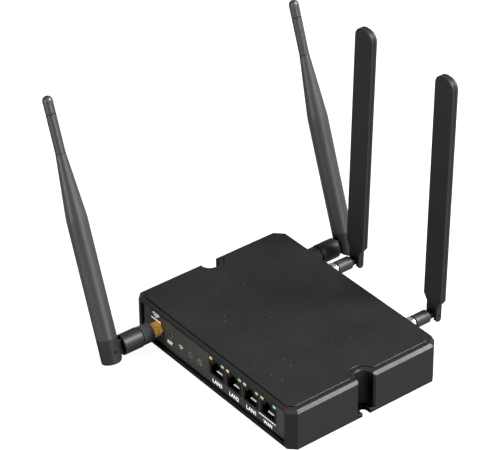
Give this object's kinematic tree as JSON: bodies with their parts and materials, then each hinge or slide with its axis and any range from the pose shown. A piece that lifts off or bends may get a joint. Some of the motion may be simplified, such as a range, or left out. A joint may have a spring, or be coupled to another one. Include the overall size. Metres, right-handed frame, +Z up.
{
  "type": "wireless router",
  "caption": "Black desktop wireless router: flat bevelled case with side screw pockets, a panel of network sockets, two round whip antennas and two flat paddle antennas on folding elbows.",
  "frame": {"origin": "centre of the underside of the case", "axes": "+X along the port panel, left to right seen from the front; +Y from the port panel to the rear panel; +Z up"},
  "size_m": [0.1982, 0.2098, 0.1957],
  "materials": {
    "aerial_brass": "satin",
    "barrel_plastic": "satin",
    "base_plastic": "satin",
    "board_green": "satin",
    "button_plastic": "matte",
    "capacitor_sleeve": "satin",
    "card_plastic": "satin",
    "case_plastic": "satin",
    "chip_epoxy": "matte",
    "clear_window": "polished",
    "elbow_plastic": "satin",
    "gold_plate": "polished",
    "green_window": "polished",
    "jack_plastic": "satin",
    "lead_jacket": "matte",
    "paddle_plastic": "matte",
    "panel_plastic": "satin",
    "screw_steel": "satin",
    "shield_steel": "satin",
    "sink_aluminium": "satin",
    "whip_plastic": "satin",
    "yellow_window": "polished"
  },
  "bodies": {
    "case": {"aerial_leads": "lead_jacket", "antenna_sockets": "gold_plate", "base_plate": "base_plastic", "board_chips": "chip_epoxy", "board_screws": "screw_steel", "card_socket": "jack_plastic", "case_screws": "screw_steel", "front_panel": "panel_plastic", "heat_sink": "sink_aluminium", "jack_contacts": "gold_plate", "jack_lights_green": "green_window", "jack_lights_yellow": "yellow_window", "lan_jacks": "jack_plastic", "lead_plugs": "gold_plate", "light_pipes": "clear_window", "line_transformers": "jack_plastic", "main_board": "board_green", "modem_card": "board_green", "power_filter": "capacitor_sleeve", "power_pin": "screw_steel", "power_socket": "jack_plastic", "radio_shield": "shield_steel", "rear_panel": "panel_plastic", "reset_switch": "jack_plastic", "sim_holder": "shield_steel", "socket_nuts": "gold_plate", "socket_washers": "screw_steel", "status_leds": "chip_epoxy", "top_cover": "case_plastic"},
    "reset_button": {"reset_button": "button_plastic"},
    "sim_tray": {"sim_tray": "button_plastic", "sim_card": "card_plastic"},
    "front_whip_nut": {"front_whip_coupling": "gold_plate", "front_whip_grip": "elbow_plastic"},
    "front_whip_elbow": {"front_whip_sleeve": "elbow_plastic"},
    "front_whip": {"front_whip_base": "whip_plastic", "front_whip_pin": "screw_steel", "front_whip_radome": "whip_plastic", "front_whip_tip": "whip_plastic", "front_whip_element": "aerial_brass"},
    "rear_whip_nut": {"rear_whip_coupling": "gold_plate", "rear_whip_grip": "elbow_plastic"},
    "rear_whip_elbow": {"rear_whip_sleeve": "elbow_plastic"},
    "rear_whip": {"rear_whip_base": "whip_plastic", "rear_whip_pin": "screw_steel", "rear_whip_radome": "whip_plastic", "rear_whip_tip": "whip_plastic", "rear_whip_element": "aerial_brass"},
    "left_paddle_nut": {"left_paddle_coupling": "gold_plate"},
    "left_paddle_elbow": {"left_paddle_barrel": "barrel_plastic"},
    "left_paddle": {"left_paddle_front": "paddle_plastic", "left_paddle_back": "paddle_plastic", "left_paddle_pin": "screw_steel", "left_paddle_board": "board_green"},
    "right_paddle_nut": {"right_paddle_coupling": "gold_plate"},
    "right_paddle_elbow": {"right_paddle_barrel": "barrel_plastic"},
    "right_paddle": {"right_paddle_front": "paddle_plastic", "right_paddle_back": "paddle_plastic", "right_paddle_pin": "screw_steel", "right_paddle_board": "board_green"}
  },
  "joints": [
    {"name": "front_whip_nut_turn", "type": "hinge", "parent": "case", "child": "front_whip_nut", "pos_m": [-0.058, -0.0662, 0.01475], "axis": [0, -1, 0], "continuous": true},
    {"name": "front_whip_swivel", "type": "hinge", "parent": "case", "child": "front_whip_elbow", "pos_m": [-0.058, -0.0702, 0.01475], "axis": [0, 1, 0], "range_deg": [-71.45, 108.55]},
    {"name": "front_whip_fold", "type": "hinge", "parent": "front_whip_elbow", "child": "front_whip", "pos_m": [-0.058, -0.0979, 0.01475], "axis": [0.948, 0, 0.3181], "range_deg": [0, 90]},
    {"name": "rear_whip_nut_turn", "type": "hinge", "parent": "case", "child": "rear_whip_nut", "pos_m": [-0.0575, 0.0662, 0.01475], "axis": [0, 1, 0], "continuous": true},
    {"name": "rear_whip_swivel", "type": "hinge", "parent": "case", "child": "rear_whip_elbow", "pos_m": [-0.0575, 0.0702, 0.01475], "axis": [0, 1, 0], "range_deg": [-71.45, 18.55]},
    {"name": "rear_whip_fold", "type": "hinge", "parent": "rear_whip_elbow", "child": "rear_whip", "pos_m": [-0.0575, 0.0979, 0.01475], "axis": [-0.948, 0, -0.3181], "range_deg": [0, 90]},
    {"name": "left_paddle_nut_turn", "type": "hinge", "parent": "case", "child": "left_paddle_nut", "pos_m": [-0.0374, 0.0662, 0.01475], "axis": [0, 1, 0], "continuous": true},
    {"name": "left_paddle_swivel", "type": "hinge", "parent": "case", "child": "left_paddle_elbow", "pos_m": [-0.0374, 0.0702, 0.01475], "axis": [0, 1, 0], "range_deg": [-3.1, 9.9]},
    {"name": "left_paddle_fold", "type": "hinge", "parent": "left_paddle_elbow", "child": "left_paddle", "pos_m": [-0.0374, 0.092, 0.01475], "axis": [-0.9993, 0, 0.0366], "range_deg": [0, 90]},
    {"name": "right_paddle_nut_turn", "type": "hinge", "parent": "case", "child": "right_paddle_nut", "pos_m": [0.0415, 0.0662, 0.01475], "axis": [0, 1, 0], "continuous": true},
    {"name": "right_paddle_swivel", "type": "hinge", "parent": "case", "child": "right_paddle_elbow", "pos_m": [0.0415, 0.0702, 0.01475], "axis": [0, 1, 0], "range_deg": [-7.4, 88.6]},
    {"name": "right_paddle_fold", "type": "hinge", "parent": "right_paddle_elbow", "child": "right_paddle", "pos_m": [0.0415, 0.092, 0.01475], "axis": [-0.9997, 0, 0.0244], "range_deg": [0, 90]},
    {"name": "reset_press", "type": "slide", "parent": "case", "child": "reset_button", "axis": [0, 1, 0], "range_m": [0, 0.0005], "stiffness_N_per_m": 600, "springref_m": -0.0008},
    {"name": "sim_tray_slide", "type": "slide", "parent": "case", "child": "sim_tray", "axis": [0, 1, 0], "range_m": [0, 0.026]}
  ]
}
